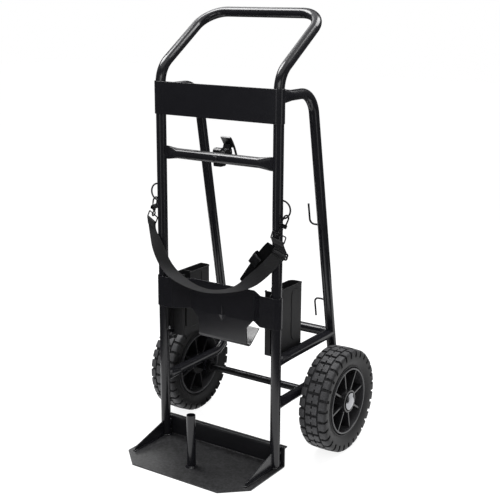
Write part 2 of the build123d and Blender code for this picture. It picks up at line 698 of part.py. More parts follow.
# Axle caps: bright domed caps pushed on the axle ends inside the hub recesses.
CAP_EDGE = 8.0
CAP_CLEARANCE = 0.02
cap_top = CAP_TOP_X - WHEEL_X
cap_back = CAP_BACK_X - WHEEL_X
axle_end = AXLE_END_X - WHEEL_X + 0.3
cap_lines = Polyline(
    (0, cap_top),
    (0, axle_end),
    (AXLE_R + CAP_CLEARANCE, axle_end),
    (AXLE_R + CAP_CLEARANCE, cap_back),
    (CAP_R, cap_back),
    (CAP_R, cap_back + CAP_EDGE),
)
cap_edge = cap_back + CAP_EDGE
dome = cap_top - cap_edge
dome_r = (CAP_R**2 + dome**2) / (2 * dome)
dome_turn = math.asin(CAP_R / dome_r) / 2
dome_mid = (dome_r * math.sin(dome_turn), cap_top - dome_r + dome_r * math.cos(dome_turn))
cap_lines += ThreePointArc((CAP_R, cap_edge), dome_mid, (0, cap_top))
cap = revolve(Plane.XZ * make_face(cap_lines), axis=Axis.Z)
right_axle_cap, left_axle_cap = both(on_axle(cap))
save("right_axle_cap", right_axle_cap)
save("left_axle_cap", left_axle_cap)

# Strap rings: half loops of round wire welded to the outer sides of the uprights.
ring_top = (RING_X, 0, RING_Z + RING_R)
ring_low = (RING_X, 0, RING_Z - RING_R)
ring_path = Line((RING_X - 4, 0, RING_Z + RING_R), ring_top)
ring_path += ThreePointArc(ring_top, (RING_X + RING_R, 0, RING_Z), ring_low)
ring_path += Line(ring_low, (RING_X - 4, 0, RING_Z - RING_R))
ring = wire(Wire(ring_path.edges()), RING_WIRE_R) - frame_envelope
right_strap_ring, left_strap_ring = both(ring)
save("right_strap_ring", right_strap_ring)
save("left_strap_ring", left_strap_ring)


# Cord hooks: two wire hooks on the right leg, the upper opening upward, the lower downward.
def cord_hook(root_z, free_z, reach):
    turn = leg_point(root_z, UPRIGHT_X - reach)
    path = FilletPolyline(
        leg_point(root_z, UPRIGHT_X - 4),
        turn,
        leg_point(free_z, UPRIGHT_X - reach),
        radius=HOOK_BEND_R,
    )
    return wire(path, HOOK_WIRE_R) - leg_envelope(1)


save("upper_cord_hook", cord_hook(*UPPER_HOOK_Z, UPPER_HOOK_REACH))
save("lower_cord_hook", cord_hook(*LOWER_HOOK_Z, LOWER_HOOK_REACH))


# Snap hooks: round-wire bight over the strap ring, a straight back, a base lug for the gate and a
# swivelling eye for the link. Each is built about its bight centre and then hung on its ring.
def hang(side):
    if side < 0:
        return Plane(origin=LEFT_BIGHT, x_dir=(1, 0, 0), z_dir=(0.22, -0.08, 0.972))
    return Plane(origin=RIGHT_BIGHT, x_dir=(0.90, 0, 0.44), z_dir=(0.20, 0.40, 0.895))


def snap_hook():
    nose = (0, -SNAP_BIGHT_R, SNAP_NOSE_Z)
    shoulder = (0, -SNAP_BIGHT_R, 0)
    back = (0, SNAP_BIGHT_R, 0)
    heel = (0, SNAP_BIGHT_R, -SNAP_STEM)
    line = Line(nose, shoulder)
    line += ThreePointArc(shoulder, (0, 0, SNAP_BIGHT_R), back)
    line += Line(back, heel)
    body = wire(Wire(line.edges()), SNAP_WIRE_R)
    base_top = GATE_PIVOT_Z + SNAP_BASE_UP
    base_low = GATE_PIVOT_Z - SNAP_BASE_DOWN
    base = span_box(
        (-SNAP_BASE_X, GATE_PIVOT_Y - SNAP_BASE_FRONT, base_low),
        (SNAP_BASE_X, SNAP_BIGHT_R + SNAP_WIRE_R, base_top),
    )
    base = fillet(base.edges().filter_by(Axis.X), SNAP_BASE_ROUND)
    slot = span_box(
        (-GATE_SLOT_X, GATE_PIVOT_Y - SNAP_BASE_FRONT - 1, GATE_PIVOT_Z - SNAP_BASE_FRONT),
        (GATE_SLOT_X, GATE_PIVOT_Y + GATE_SLOT_LONG, base_top + 1),
    )
    body += base - slot
    body += bar((0, 0, base_low), (0, 0, SNAP_EYE_Z + SNAP_EYE_R), SWIVEL_R)
    collar_top = base_low - SWIVEL_GAP
    body += bar((0, 0, collar_top - SWIVEL_COLLAR), (0, 0, collar_top), SWIVEL_COLLAR_R)
    eye = Plane(origin=(0, 0, SNAP_EYE_Z), x_dir=(0, 1, 0), z_dir=(1, 0, 0))
    body += eye * Torus(SNAP_EYE_R, SNAP_EYE_WIRE_R)
    return body - gate_pin()


def across_gate(half, radius):
    return bar((-half, GATE_PIVOT_Y, GATE_PIVOT_Z), (half, GATE_PIVOT_Y, GATE_PIVOT_Z), radius)


def snap_gate():
    tip_z = SNAP_NOSE_Z - GATE_TIP_GAP
    gate = bar((0, GATE_PIVOT_Y, GATE_PIVOT_Z), (0, GATE_PIVOT_Y, tip_z), GATE_R)
    gate += across_gate(GATE_HUB_X, GATE_HUB_R)
    return gate - across_gate(SNAP_BASE_X, GATE_PIN_R + RUNNING_CLEARANCE)


def gate_pin():
    return across_gate(SNAP_BASE_X, GATE_PIN_R)


def wire_link():
    half = LINK_WIDE / 2
    path = FilletPolyline(
        (half, 0, 0),
        (half, 0, -LINK_TALL),
        (-half, 0, -LINK_TALL),
        (-half, 0, 0),
        close=True,
        radius=LINK_CORNER_R,
    )
    return wire(path, LINK_WIRE_R)


def link_seat(side):
    eye_low = SNAP_EYE_Z - (SNAP_EYE_R - SNAP_EYE_WIRE_R - LINK_WIRE_R - LINK_EYE_GAP)
    centre = hang(side).from_local_coords((0, 0, eye_low))
    if side < 0:
        return Plane(origin=centre, x_dir=(0.90, -0.28, -0.33), z_dir=(0.36, 0.10, 0.93))
    return Plane(origin=centre, x_dir=(0.96, 0, -0.27), z_dir=(0.27, 0.10, 0.96))


for name, side in (("left", -1), ("right", 1)):
    save(f"{name}_snap_hook", hang(side) * snap_hook())
    save(f"{name}_snap_gate", hang(side) * snap_gate())
    save(f"{name}_wire_link", link_seat(side) * wire_link())
save("gate_pins", Compound(children=[hang(side) * gate_pin() for side in (-1, 1)]))

# Strap: one length of flat webbing from link to link across the front of the cradle, facing
# forward at both ends and lying flat in the middle. Each station is a centre and a width direction.
FOLD_CLEAR = 0.4
SLIDER_AT = (220.5, -23.5, 633.5)
SLIDER_ACROSS = (-0.955, 0.0, 0.297)


def fold_station(side):
    seat = link_seat(side)
    low = seat.from_local_coords((0, 0, -LINK_TALL - LINK_WIRE_R - FOLD_CLEAR - WEB_T / 2))
    across = -side * seat.x_dir
    return (low.X, low.Y, low.Z), (across.X, across.Y, across.Z)


web_stations = (
    fold_station(-1),
    ((-232, -3, 643), (0.93, -0.29, -0.15)),
    ((-225, -8, 631), (0.94, -0.30, 0.10)),
    ((-213, -16, 618), (0.90, -0.16, 0.36)),
    ((-200, -24, 602), (0.87, 0.10, 0.45)),
    ((-184, -28, 576), (0.90, 0.28, 0.34)),
    ((-168, -27, 547), (0.90, 0.30, 0.30)),
    ((-141, -31, 524), (0.60, 0.75, 0.20)),
    ((-103, -32, 507), (0.20, 0.97, 0.08)),
    ((-62, -27, 492), (-0.05, 1.0, -0.03)),
    ((-20, -24, 488), (-0.20, 0.98, -0.05)),
    ((21, -24, 494), (-0.22, 0.97, -0.02)),
    ((63, -24, 506), (-0.40, 0.90, 0.12)),
    ((98, -26, 523), (-0.65, 0.66, 0.36)),
    ((122, -25, 540), (-0.66, 0.30, 0.68)),
    ((144, -24, 556), (-0.65, 0.05, 0.75)),
    ((172, -23.5, 583), (-0.70, 0.0, 0.72)),
    ((197, -23.5, 609), (-0.73, 0.0, 0.68)),
    ((213, -23.5, 625), (-0.85, 0.0, 0.52)),
    (SLIDER_AT, SLIDER_ACROSS),
    ((217, -23.5, 648), (-0.96, 0.0, 0.28)),
    fold_station(1),
)


def ribbon(stations, thick):
    sections = []
    for index, (centre, width) in enumerate(stations):
        before = Vector(*stations[max(index - 1, 0)][0])
        after = Vector(*stations[min(index + 1, len(stations) - 1)][0])
        across = Vector(*width).normalized()
        along = after - before
        seat = Plane(origin=centre, x_dir=across, z_dir=along - across * along.dot(across))
        sections.append(seat * Rectangle(WEB_WIDE, thick))
    return loft(sections, ruled=True)


def fold(side):
    half = WEB_WIDE / 2
    inner = LINK_WIRE_R + FOLD_CLEAR
    sleeve_start = (-half, 0, -LINK_TALL)
    sleeve_end = (half, 0, -LINK_TALL)
    sleeve = bar(sleeve_start, sleeve_end, inner + WEB_T) - bar(sleeve_start, sleeve_end, inner)
    return link_seat(side) * sleeve


save("strap_webbing", ribbon(web_stations, WEB_T) + fold(-1) + fold(1))

# Strap tail: the free length of webbing that comes back behind the right side of the strap.
TAIL_ACROSS = (-0.80, 0.0, 0.60)
BUCKLE_AT = (149.6, -18.0, 598.8)
tail_stations = (
    ((193.6, -18.6, 651.8), (-0.93, 0.0, 0.36)),
    ((180.6, -18.0, 637.8), (-0.85, 0.0, 0.53)),
    ((167.6, -18.0, 622.8), TAIL_ACROSS),
    ((131.6, -18.0, 574.8), TAIL_ACROSS),
    ((107.6, -13.0, 542.8), TAIL_ACROSS),
    ((94.6, -11.0, 525.8), TAIL_ACROSS),
)
save("strap_tail", ribbon(tail_stations, WEB_T))

# Strap slider: flat three-bar frame lying on the front of the strap below the right link.
SLIDER_WIDE = 49.0
SLIDER_TALL = 21.0
SLIDER_T = 3.5
SLIDER_SLOT = 3.8
SLIDER_SLOT_Y = 4.2
SLIDER_GAP = 0.5
SLIDER_CORNER_R = 6.0
SLIDER_SLOT_R = 1.2
slider_lift = WEB_T / 2 + SLIDER_GAP + SLIDER_T / 2
slider_centre = Vector(*SLIDER_AT) + Vector(0, -1, 0) * slider_lift
slider_seat = Plane(origin=slider_centre, x_dir=SLIDER_ACROSS, z_dir=(0, -1, 0))
slider = Box(SLIDER_WIDE, SLIDER_TALL, SLIDER_T)
slider = fillet(slider.edges().filter_by(Axis.Z), SLIDER_CORNER_R)
for slot_y in (-SLIDER_SLOT_Y, SLIDER_SLOT_Y):
    slot = Box(WEB_WIDE + 2, SLIDER_SLOT, SLIDER_T * 2)
    slider -= Pos(0, slot_y, 0) * fillet(slot.edges().filter_by(Axis.Z), SLIDER_SLOT_R)
save("strap_slider", slider_seat * slider)

# Tail buckle: cam buckle on the tail, a back plate with two cheeks, a short cam and a thumb lever.
BUCKLE_UP = 25.0
BUCKLE_DOWN = 22.0
BUCKLE_HALF_LONG = 20.0
BUCKLE_PLATE = 1.8
BUCKLE_FRONT = 9.0
CHEEK_T = 2.4
CAM_R = 4.6
CAM_FRONT = 6.2
CAM_Y = -9.0
CAM_LOW = -4.0
CHEEK_ROUND = 4.8
THUMB_LOW = -2.0
THUMB_LONG = 26.0
THUMB_T = 3.0
THUMB_GAP = 0.6
buckle_seat = Plane(origin=BUCKLE_AT, x_dir=TAIL_ACROSS, z_dir=(0, -1, 0))
plate_top = -WEB_T / 2 - SLIDER_GAP
plate_low = plate_top - BUCKLE_PLATE
buckle = span_box((-BUCKLE_DOWN, -BUCKLE_HALF_LONG, plate_low), (BUCKLE_UP, BUCKLE_HALF_LONG, plate_top))
for low_x, front in ((-BUCKLE_DOWN, WEB_T / 2), (BUCKLE_UP - CHEEK_T, BUCKLE_FRONT)):
    cheek = span_box(
        (low_x, -BUCKLE_HALF_LONG, plate_low),
        (low_x + CHEEK_T, BUCKLE_HALF_LONG, front),
    )
    cheek_front = cheek.edges().filter_by(Axis.X).group_by(Axis.Z)[-1]
    buckle += fillet(cheek_front, min(front * 0.8, CHEEK_ROUND))
buckle += bar((CAM_LOW, CAM_Y, CAM_FRONT), (BUCKLE_UP, CAM_Y, CAM_FRONT), CAM_R)
thumb_front = CAM_FRONT + CAM_R
thumb_end = (BUCKLE_UP - CHEEK_T - THUMB_GAP, CAM_Y + THUMB_LONG, thumb_front)
buckle += span_box((THUMB_LOW, CAM_Y, thumb_front - THUMB_T), thumb_end)
save("tail_buckle", buckle_seat * buckle)

# Handle latch: moulded saddle bolted to the back of the crossbar, with a jaw under the bar and a
# rounded thumb rest, carrying a hinged lever whose curved plate runs down into one side leg.
SADDLE_CLEAR = 0.1
JAW_X = 12.0
REST_X = (-22.0, 3.0)
REST_ROUND = 2.5
saddle_side = Polyline(
    (5, 875),
    (10, 882),
    (30, 886),
    (44, 886),
    (46, 876),
    (46, 858),
    (10, 858),
    close=True,
)
jaw_side = Polyline(
    (8, 868),
    (26, 868),
    (28, 852),
    (20, 841),
    (-3, 841),
    (-5, 849),
    (0, 856),
    close=True,
)
rest_side = Polyline(
    (6, 874),
    (7, 884),
    (12, 888.5),
    (25, 888.5),
    (29, 882),
    (14, 868),
    close=True,
)
latch_base = extrude(Plane.YZ * make_face(saddle_side), amount=LATCH_X, both=True)
latch_base += extrude(Plane.YZ * make_face(jaw_side), amount=JAW_X, both=True)
thumb_rest = extrude(Plane.YZ * make_face(rest_side), amount=REST_X[1] - REST_X[0], dir=(1, 0, 0))
latch_base += Pos(REST_X[0], 0, 0) * fillet(thumb_rest.edges().filter_by(Axis.X), REST_ROUND)
latch_base -= bar((2 * REST_X[0], 0, CROSSBAR_Z), (2 * LATCH_X, 0, CROSSBAR_Z), BRACE_R + SADDLE_CLEAR)
LEVER_ROOM = 8.0
room_low = (-LATCH_HUB_X - LATCH_HUB_GAP, LATCH_PIN_Y - LEVER_ROOM, LATCH_PIN_Z - LEVER_ROOM)
room_high = (LATCH_HUB_X + LATCH_HUB_GAP, LATCH_PIN_Y + 2 * LEVER_ROOM, LATCH_PIN_Z + 2 * LEVER_ROOM)
latch_base -= span_box(room_low, room_high)
latch_pin = bar((-LATCH_X, LATCH_PIN_Y, LATCH_PIN_Z), (LATCH_X, LATCH_PIN_Y, LATCH_PIN_Z), LATCH_PIN_R)
latch_base -= latch_pin
BOLT_END_Y = 32.0
latch_base -= bar((0, 0, CROSSBAR_Z), (0, BOLT_END_Y + 2, CROSSBAR_Z), BOLT_R)
save("latch_base", latch_base)
save("latch_pin", latch_pin)

LEVER_T = 5.0
LEVER_X = (-15.0, 18.5)
LEVER_LOW_Z = 887.0
LEVER_TOP_Z = 921.0
LEVER_CORNER_R = 6.0
LEG_WIDE = 4.5
lever_wide = LEVER_X[1] - LEVER_X[0]
lever_curve = ThreePointArc((34, 918), (52, 893), (67, 858))
lever_strip = Plane.YZ * trace(lever_curve, line_width=LEVER_T)
plate_face = RectangleRounded(lever_wide, LEVER_TOP_Z - LEVER_LOW_Z, LEVER_CORNER_R)
plate_mask = Plane.XZ * Pos(sum(LEVER_X) / 2, (LEVER_LOW_Z + LEVER_TOP_Z) / 2) * plate_face
lever_plate = Pos(LEVER_X[0], 0, 0) * extrude(lever_strip, amount=lever_wide, dir=(1, 0, 0))
latch_lever = lever_plate & extrude(plate_mask, amount=2 * LATCH_PIN_Y, both=True)
leg_high = (LEVER_X[1], 3 * LATCH_PIN_Y, LEVER_TOP_Z - LEVER_CORNER_R)
leg_mask = span_box((LEVER_X[1] - LEG_WIDE, 0, 0), leg_high)
latch_lever += lever_plate & leg_mask
hub_start = (-LATCH_HUB_X, LATCH_PIN_Y, LATCH_PIN_Z)
hub_end = (LATCH_HUB_X, LATCH_PIN_Y, LATCH_PIN_Z)
latch_lever += bar(hub_start, hub_end, LATCH_HUB_R)
neck_side = Polyline((34, 880), (42, 898), (53, 890), (43, 876), close=True)
latch_lever += extrude(Plane.YZ * make_face(neck_side), amount=LATCH_HUB_X, both=True)
latch_lever -= bar(hub_start, hub_end, LATCH_PIN_R + RUNNING_CLEARANCE)
save("latch_lever", latch_lever)

# Latch bolt: round-headed bolt through the crossbar into the saddle.
BOLT_HEAD_R = 8.0
BOLT_HEAD = 4.5
BOLT_HEAD_ROUND = 2.5
bolt_head = bar((0, -BRACE_R - BOLT_HEAD, CROSSBAR_Z), (0, -BRACE_R, CROSSBAR_Z), BOLT_HEAD_R)
bolt_head = fillet(bolt_head.edges().group_by(Axis.Y)[0], BOLT_HEAD_ROUND)
latch_bolt = bolt_head + bar((0, -BRACE_R, CROSSBAR_Z), (0, BOLT_END_Y, CROSSBAR_Z), BOLT_R)
save("latch_bolt", latch_bolt)
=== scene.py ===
import bpy
import bmesh
import math
from mathutils import Matrix, Vector


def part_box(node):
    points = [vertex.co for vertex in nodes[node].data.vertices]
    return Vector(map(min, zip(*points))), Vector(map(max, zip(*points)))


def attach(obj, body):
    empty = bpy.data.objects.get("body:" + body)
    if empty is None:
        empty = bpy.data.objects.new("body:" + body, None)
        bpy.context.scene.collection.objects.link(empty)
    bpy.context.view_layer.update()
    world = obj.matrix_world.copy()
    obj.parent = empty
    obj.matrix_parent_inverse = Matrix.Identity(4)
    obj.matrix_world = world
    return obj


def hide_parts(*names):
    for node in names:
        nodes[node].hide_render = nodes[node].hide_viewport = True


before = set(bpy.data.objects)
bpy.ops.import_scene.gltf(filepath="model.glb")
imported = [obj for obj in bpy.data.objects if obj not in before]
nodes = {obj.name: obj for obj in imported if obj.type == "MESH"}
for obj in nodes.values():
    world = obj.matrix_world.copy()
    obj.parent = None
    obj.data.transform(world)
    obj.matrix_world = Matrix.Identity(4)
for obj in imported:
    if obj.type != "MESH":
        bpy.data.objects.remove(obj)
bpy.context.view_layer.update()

# Welded steel frame: bent tube and wire, sheet and plate, welded up and then powder coated in one go.
# The latch's bolt is coated like it. The baked black polyester flows out to a semi-gloss skin with
# a faint orange peel, and a trace of dust varies its gloss in wide patches.
MM = 0.001
DUST_MM = 60.0
GLOSS_DRIFT = 0.025


def hex_colour(code):
    """The linear colour of an sRGB hex value."""
    channels = []
    for start in (1, 3, 5):
        share = int(code[start:start + 2], 16) / 255
        channels.append(share / 12.92 if share <= 0.04045 else ((share + 0.055) / 1.055) ** 2.4)
    return (*channels, 1.0)


def add_node(tree, kind, settings=None, links=None):
    """A node with its settings, and with links that each come from another node's output."""
    node = tree.nodes.new(kind)
    for key, value in (settings or {}).items():
        if isinstance(key, int) or key in node.inputs:
            node.inputs[key].default_value = value
        else:
            setattr(node, key, value)
    for key, (source, output) in (links or {}).items():
        tree.links.new(source.outputs[output], node.inputs[key])
    return node


def set_colours(ramp, stops):
    """Sets a ramp's colours, each at its place from 0 to 1."""
    elements = ramp.color_ramp.elements
    for place, _ in stops[1:-1]:
        elements.new(place)
    for element, (place, code) in zip(elements, stops):
        element.position = place
        element.color = hex_colour(code)


def new_material(name):
    """An empty material and its node tree."""
    material = bpy.data.materials.new(name)
    material.use_nodes = True
    tree = material.node_tree
    tree.nodes.clear()
    return material, tree


def powder(name, dark, light, rough, peel_mm, deep_mm):
    """Baked powder: a dark smooth film with peel dimples and a trace of dust."""
    material, tree = new_material(name)
    coords = add_node(tree, "ShaderNodeTexCoord")
    peel = add_node(tree, "ShaderNodeTexNoise", {"Scale": 1 / (peel_mm * MM), "Detail": 1.0},
                    {"Vector": (coords, "Object")})
    dust = add_node(tree, "ShaderNodeTexNoise",
                    {"Scale": 1 / (DUST_MM * MM), "Detail": 5.0, "Roughness": 0.6},
                    {"Vector": (coords, "Object")})
    tone = add_node(tree, "ShaderNodeValToRGB", links={"Fac": (dust, "Fac")})
    set_colours(tone, ((0.35, dark), (0.75, light)))
    gloss = add_node(tree, "ShaderNodeMapRange",
                     {"To Min": rough - GLOSS_DRIFT, "To Max": rough + GLOSS_DRIFT},
                     {"Value": (dust, "Fac")})
    bump = add_node(tree, "ShaderNodeBump", {"Strength": 0.5, "Distance": deep_mm * MM},
                    {"Height": (peel, "Fac")})
    surface = add_node(tree, "ShaderNodeBsdfPrincipled", {"IOR": 1.5},
                       {"Base Color": (tone, "Color"), "Roughness": (gloss, "Result"),
                        "Normal": (bump, "Normal")})
    add_node(tree, "ShaderNodeOutputMaterial", links={"Surface": (surface, "BSDF")})
    return material


frame_coat = powder("black_powder_coat", dark="#141418", light="#17171b", rough=0.20,
                    peel_mm=1.6, deep_mm=0.006)


def dress(names, material):
    """Gives pieces their finish."""
    for name in names:
        mesh = nodes[name].data
        mesh.materials.clear()
        mesh.materials.append(material)


dress(
    (
        "main_frame_tube", "left_rear_loop", "right_rear_loop", "left_side_brace", "right_side_brace",
        "rear_cross_tube", "crossbar", "name_plate", "cradle_plate", "left_gusset", "right_gusset",
        "tool_post", "left_axle_bracket", "right_axle_bracket", "left_strap_ring", "right_strap_ring",
        "upper_cord_hook", "lower_cord_hook", "latch_bolt",
    ),
    frame_coat,
)


def soften(names, width_mm):
    """Rolls the sharp edges of pieces over, as a coat or a mould leaves them."""
    for name in names:
        joined = nodes[name].modifiers.new("joined", "WELD")
        joined.merge_threshold = 0.01 * MM
        edges = nodes[name].modifiers.new("edges", "BEVEL")
        edges.width = width_mm * MM
        edges.segments = 2
        edges.limit_method = "ANGLE"
        edges.angle_limit = math.radians(40)
        edges.use_clamp_overlap = False
        nodes[name].modifiers.new("shading", "WEIGHTED_NORMAL")


soften(("name_plate", "cradle_plate", "left_gusset", "right_gusset"), width_mm=0.7)

# Toe plate: one folded sheet of steel, welded under the uprights and coated with the frame.
# Its coat is painted a shade lighter than the frame's, and its up-facing faces lighter again in mottled
# patches: painted light from above. Its up-facing floor is also rougher, as walking on it leaves it.
TOP_LIGHT_MOTTLE_MM = 7.0
CLEAN_ROUGH = 0.30
SCUFFED_ROUGH = 0.50
# A lighter copy of the frame's coat: painted light on a plate that faces up.
toe_coat = powder("rough_powder_coat_painted_top_light", dark="#18181b", light="#1c1c1f", rough=CLEAN_ROUGH,
                  peel_mm=2.4, deep_mm=0.05)
tree = toe_coat.node_tree
coords = add_node(tree, "ShaderNodeTexCoord")
facing = add_node(tree, "ShaderNodeSeparateXYZ", links={"Vector": (coords, "Normal")})
facing_up = add_node(tree, "ShaderNodeMapRange", {"From Min": 0.6, "From Max": 0.95}, {"Value": (facing, "Z")})
top_light_mottle = add_node(tree, "ShaderNodeTexNoise", {"Scale": 1 / (TOP_LIGHT_MOTTLE_MM * MM), "Detail": 5.0, "Roughness": 0.7},
                 {"Vector": (coords, "Object")})
# Painted light: up-facing faces are painted lighter, mottled in small patches.
painted_top_light = add_node(tree, "ShaderNodeValToRGB", links={"Fac": (top_light_mottle, "Fac")})
set_colours(painted_top_light, ((0.40, "#0c0c0d"), (0.64, "#323234")))
surface = tree.nodes["Principled BSDF"]
coat_tone = surface.inputs["Base Color"].links[0].from_node
top_lit_tone = add_node(tree, "ShaderNodeMix", {"data_type": "RGBA"},
                     {0: (facing_up, "Result"), 6: (coat_tone, "Color"), 7: (painted_top_light, "Color")})
worn_gloss = add_node(tree, "ShaderNodeMapRange", {"To Min": CLEAN_ROUGH, "To Max": SCUFFED_ROUGH},
                      {"Value": (facing_up, "Result")})
tree.links.new(top_lit_tone.outputs[2], surface.inputs["Base Color"])
tree.links.new(worn_gloss.outputs["Result"], surface.inputs["Roughness"])
dress(("toe_plate",), toe_coat)
soften(("toe_plate",), width_mm=0.7)

# Welds on the toe plate: beads of weld metal along both sides of the gussets, round the uprights' feet
# and in short stitches up the rear upstand. They are laid by hand and coated with the frame.
BEAD_R = 3.4 * MM
GUSSET_RUN = (-147.0 * MM, -13.0 * MM)
STITCH_OUT = 7.0 * MM
STITCH_BACK = 14.8 * MM
STITCH_RUNS = ((9.0 * MM, 15.0 * MM), (41.0 * MM, 47.0 * MM))
gusset_low, gusset_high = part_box("right_gusset")
gusset_side = (gusset_high.x - gusset_low.x) / 2
toe_top = gusset_low.z
upright_x = (gusset_low.x + gusset_high.x) / 2
upright_r = -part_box("main_frame_tube")[0].y


def weld_bead(welds, start, end):
    """A round-ended bead: a ball drawn out from its start to its end."""
    run = Vector(end) - Vector(start)
    place = Matrix.Translation(start) @ run.to_track_quat("Z", "Y").to_matrix().to_4x4()
    ball = bmesh.ops.create_uvsphere(welds, u_segments=12, v_segments=8, radius=BEAD_R)["verts"]
    far = [vertex for vertex in ball if vertex.co.z > BEAD_R / 10]
    bmesh.ops.translate(welds, verts=far, vec=(0, 0, run.length))
    bmesh.ops.transform(welds, verts=ball, matrix=place)


welds = bmesh.new()
for side in (-upright_x, upright_x):
    for hand in (-1, 1):
        seam = side + hand * gusset_side
        weld_bead(welds, (seam, GUSSET_RUN[0], toe_top), (seam, GUSSET_RUN[1], toe_top))
        stitch = side + hand * STITCH_OUT
        for low, high in STITCH_RUNS:
            weld_bead(welds, (stitch, STITCH_BACK, low), (stitch, STITCH_BACK, high))
    foot = Matrix.Translation((side + upright_r, 0, toe_top)) @ Matrix.Rotation(math.pi / 2, 4, "X")
    section = bmesh.ops.create_circle(welds, segments=10, radius=BEAD_R, matrix=foot)["verts"]
    loop = list(dict.fromkeys(edge for vertex in section for edge in vertex.link_edges))
    bmesh.ops.spin(welds, geom=section + loop, cent=(side, 0, 0), axis=(0, 0, 1),
                   angle=2 * math.pi, steps=40, use_merge=True)
bmesh.ops.remove_doubles(welds, verts=welds.verts, dist=0.001 * MM)
bmesh.ops.recalc_face_normals(welds, faces=welds.faces)


def make_piece(name, shape, smooth):
    """An object of that name from a finished mesh."""
    mesh = bpy.data.meshes.new(name)
    shape.to_mesh(mesh)
    shape.free()
    for face in mesh.polygons:
        face.use_smooth = smooth
    piece = bpy.data.objects.new(name, mesh)
    bpy.context.scene.collection.objects.link(piece)
    return piece


toe_welds = make_piece("toe_plate_welds", welds, smooth=True)
toe_welds.data.materials.append(frame_coat)
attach(toe_welds, "frame")

# Side pockets: injection-moulded open boxes of black polypropylene, screwed to the uprights.
# The mould's spark-eroded face leaves an even grain that scatters the light. The real grain is
# a fraction of a millimetre wide and is drawn at 1.1 mm so that it shows.
GRAIN_MM = 1.1
SHADE_MM = 45.0
polypropylene, tree = new_material("grained_polypropylene")
coords = add_node(tree, "ShaderNodeTexCoord")
grain = add_node(tree, "ShaderNodeTexNoise", {"Scale": 1 / (GRAIN_MM * MM), "Detail": 2.0},
                 {"Vector": (coords, "Object")})
shade = add_node(tree, "ShaderNodeTexNoise", {"Scale": 1 / (SHADE_MM * MM), "Detail": 3.0},
                 {"Vector": (coords, "Object")})
tone = add_node(tree, "ShaderNodeValToRGB", links={"Fac": (shade, "Fac")})
set_colours(tone, ((0.0, "#101012"), (1.0, "#18181a")))
gloss = add_node(tree, "ShaderNodeMapRange", {"To Min": 0.46, "To Max": 0.62}, {"Value": (grain, "Fac")})
bump = add_node(tree, "ShaderNodeBump", {"Strength": 0.22, "Distance": 0.12 * MM}, {"Height": (grain, "Fac")})
surface = add_node(tree, "ShaderNodeBsdfPrincipled", {"IOR": 1.49, "Specular IOR Level": 0.4},
                   {"Base Color": (tone, "Color"), "Roughness": (gloss, "Result"),
                    "Normal": (bump, "Normal")})
add_node(tree, "ShaderNodeOutputMaterial", links={"Surface": (surface, "BSDF")})
dress(("left_pocket", "right_pocket"), polypropylene)
soften(("left_pocket", "right_pocket"), width_mm=0.6)

# Pocket screws: pan-head steel screws, zinc plated, driven through the flanges into the uprights.
# The latch's pin is plated like them. The plating is bright, and faint turning marks, drawn coarser
# than they are, vary its gloss.
MARKS_MM = 0.8
zinc, tree = new_material("bright_zinc_plate")
coords = add_node(tree, "ShaderNodeTexCoord")
marks = add_node(tree, "ShaderNodeTexNoise", {"Scale": 1 / (MARKS_MM * MM), "Detail": 2.0},
                 {"Vector": (coords, "Object")})
gloss = add_node(tree, "ShaderNodeMapRange", {"To Min": 0.22, "To Max": 0.38}, {"Value": (marks, "Fac")})
surface = add_node(tree, "ShaderNodeBsdfPrincipled", {"Base Color": hex_colour("#c4c5c8"), "Metallic": 1.0},
                   {"Roughness": (gloss, "Result")})
add_node(tree, "ShaderNodeOutputMaterial", links={"Surface": (surface, "BSDF")})
dress(("pocket_screws", "latch_pin"), zinc)

# Axle, sleeves and collars: turned steel bar and tube with a black oiled finish. The snap hooks, their
# gates and pins, the wire links and the tail buckle share it. The finish is thin, so a metal sheen
# shows, with wear in patches and the lathe's marks, drawn coarser than they are.
TURNING_MM = 1.2
WEAR_MM = 14.0
black_steel, tree = new_material("black_oiled_steel")
coords = add_node(tree, "ShaderNodeTexCoord")
turning = add_node(tree, "ShaderNodeTexNoise", {"Scale": 1 / (TURNING_MM * MM), "Detail": 2.0},
                   {"Vector": (coords, "Object")})
wear = add_node(tree, "ShaderNodeTexNoise", {"Scale": 1 / (WEAR_MM * MM), "Detail": 4.0},
                {"Vector": (coords, "Object")})
tone = add_node(tree, "ShaderNodeValToRGB", links={"Fac": (wear, "Fac")})
set_colours(tone, ((0.4, "#111113"), (0.8, "#242427")))
gloss = add_node(tree, "ShaderNodeMapRange", {"To Min": 0.26, "To Max": 0.40}, {"Value": (turning, "Fac")})
surface = add_node(tree, "ShaderNodeBsdfPrincipled", {"Metallic": 0.6, "IOR": 1.5},
                   {"Base Color": (tone, "Color"), "Roughness": (gloss, "Result")})
add_node(tree, "ShaderNodeOutputMaterial", links={"Surface": (surface, "BSDF")})
dress(
    (
        "axle", "axle_spacers", "left_snap_hook", "right_snap_hook", "left_snap_gate", "right_snap_gate",
        "gate_pins", "left_wire_link", "right_wire_link", "tail_buckle",
    ),
    black_steel,
)
soften(("tail_buckle",), width_mm=0.5)

# Wheel rims: one-piece moulded rims of black glass-filled nylon that turn on the axle.
# The moulding is glossier than the pockets. From its barrel outwards the rim is painted lighter, a painted
# reflection of the room in the barrel and lips.
FLOW_MM = 9.0
BARREL_FROM = 90.2 * MM
BARREL_FULL = 90.6 * MM
axle_low, axle_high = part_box("axle")
axle_at = (0, (axle_low.y + axle_high.y) / 2, (axle_low.z + axle_high.z) / 2)


def from_axle(tree, coords):
    """Each point's distance from the axle's centre line."""
    offset = add_node(tree, "ShaderNodeVectorMath", {"operation": "SUBTRACT", 1: axle_at},
                      {0: (coords, "Object")})
    square = add_node(tree, "ShaderNodeVectorMath", {"operation": "MULTIPLY", 1: (0, 1, 1)},
                      {0: (offset, "Vector")})
    return add_node(tree, "ShaderNodeVectorMath", {"operation": "LENGTH"}, {0: (square, "Vector")})


